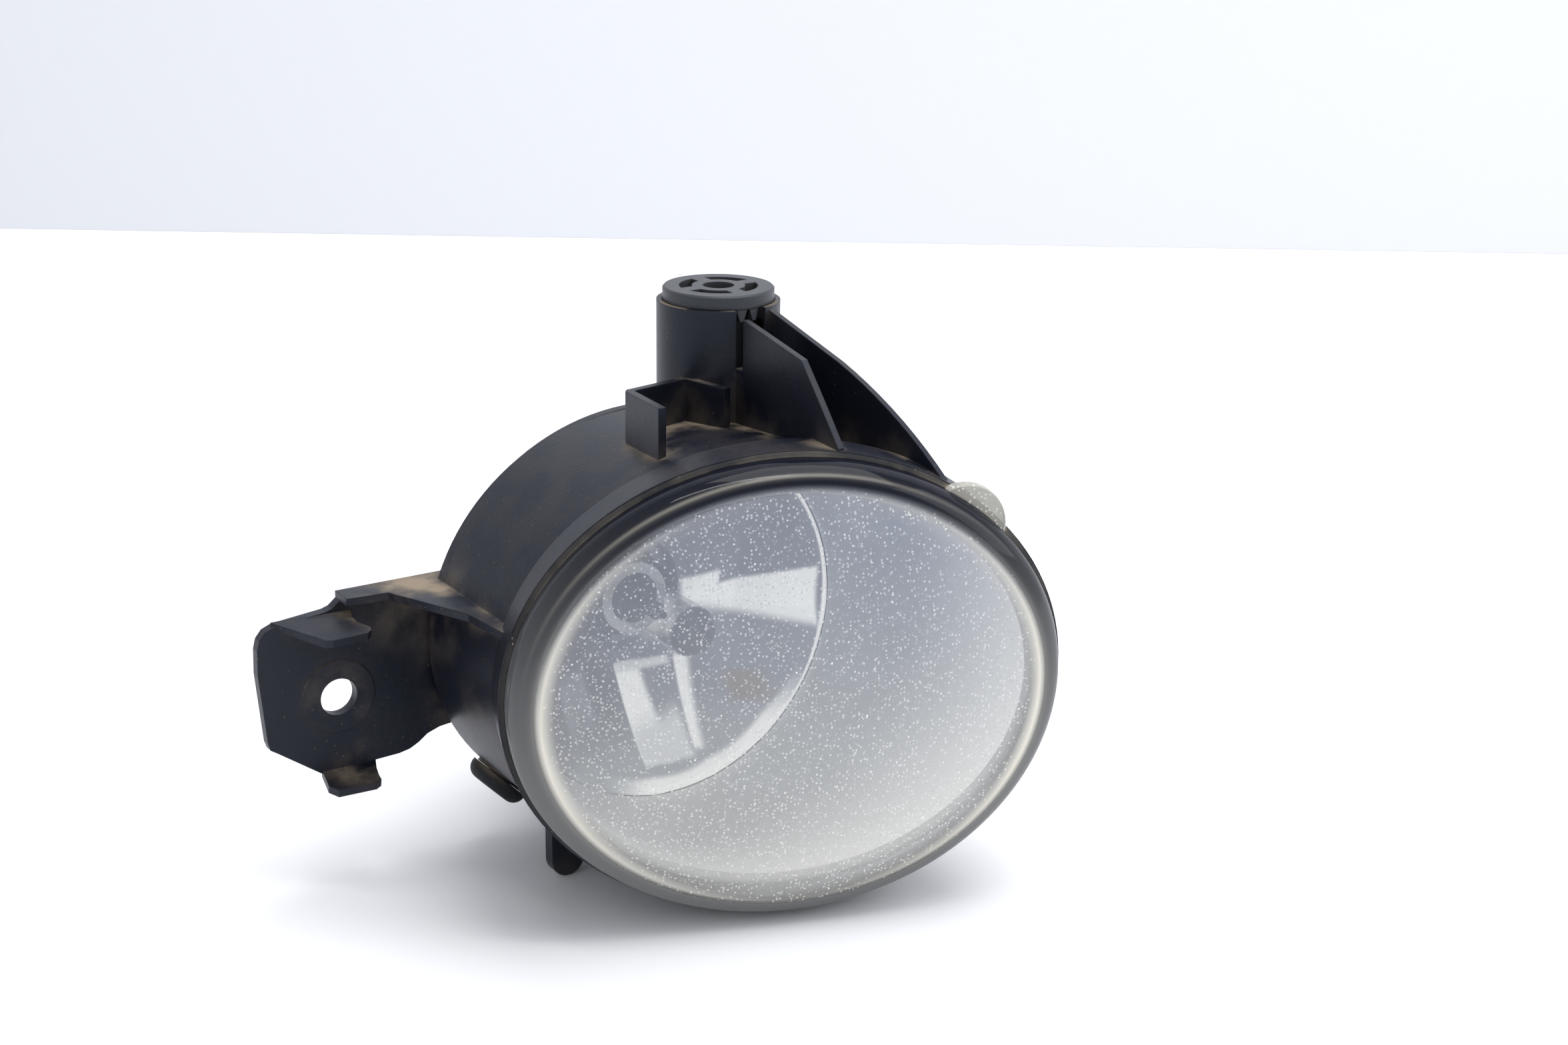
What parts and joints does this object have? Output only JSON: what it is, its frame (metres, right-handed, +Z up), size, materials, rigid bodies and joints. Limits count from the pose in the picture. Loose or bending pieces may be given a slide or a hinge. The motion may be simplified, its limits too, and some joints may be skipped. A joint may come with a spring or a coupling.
{
  "type": "automotive fog light",
  "caption": "Oval halogen fog light with a swept crowned lens, a screw ear, a height adjuster wheel in an upright post and a twist-in bulb with a downward plug socket.",
  "frame": {"origin": "middle of the base of the whole object's box", "axes": "+Z up along the adjuster post; +Y backwards along the light's axis, so the lens faces -Y; +X to the right seen from in front. The longest side of the box runs along X."},
  "size_m": [0.1518, 0.1244, 0.1277],
  "materials": {
    "housing_plastic": "moulded black plastic, lightly dusty",
    "lens_clear": "clear moulded lens",
    "sealant": "pale grey bead of sealant",
    "bezel_grey": "satin silver grey paint",
    "reflector_silver": "bright metallised",
    "screw_steel": "zinc plated",
    "rubber_black": "soft black rubber",
    "wheel_plastic": "moulded black plastic",
    "bulb_glass": "clear quartz",
    "tip_black": "opaque black coat",
    "tungsten": "drawn wire",
    "bulb_steel": "pressed sheet steel",
    "base_plastic": "glass-filled black plastic",
    "rubber_ring": "silicone ring",
    "terminal_brass": "tinned brass blade"
  },
  "bodies": {
    "lamp": {"housing": "housing_plastic", "lens": "lens_clear", "lens_seal": "sealant", "bezel": "bezel_grey", "reflector": "reflector_silver", "reflector_screw_1": "screw_steel", "reflector_screw_2": "screw_steel", "reflector_screw_3": "screw_steel", "vent_cap": "rubber_black"},
    "adjuster": {"adjuster_wheel": "wheel_plastic"},
    "bulb": {"bulb_glass": "bulb_glass", "bulb_black_tip": "tip_black", "bulb_filament": "tungsten", "bulb_lead_wire_1": "tungsten", "bulb_lead_wire_2": "tungsten", "bulb_collar": "bulb_steel", "bulb_base": "base_plastic", "bulb_o_ring": "rubber_ring", "bulb_terminal_1": "terminal_brass", "bulb_terminal_2": "terminal_brass"}
  },
  "joints": [
    {"name": "adjuster_turn", "type": "hinge", "parent": "lamp", "child": "adjuster", "pos_m": [0.02865, 0.01301, 0.1222], "axis": [0, 0, 1], "continuous": true},
    {"name": "bulb_twist", "type": "hinge", "parent": "lamp", "child": "bulb", "pos_m": [0.01555, 0.04461, 0.0519], "axis": [0, 1, 0], "range_deg": [0, 45]}
  ]
}
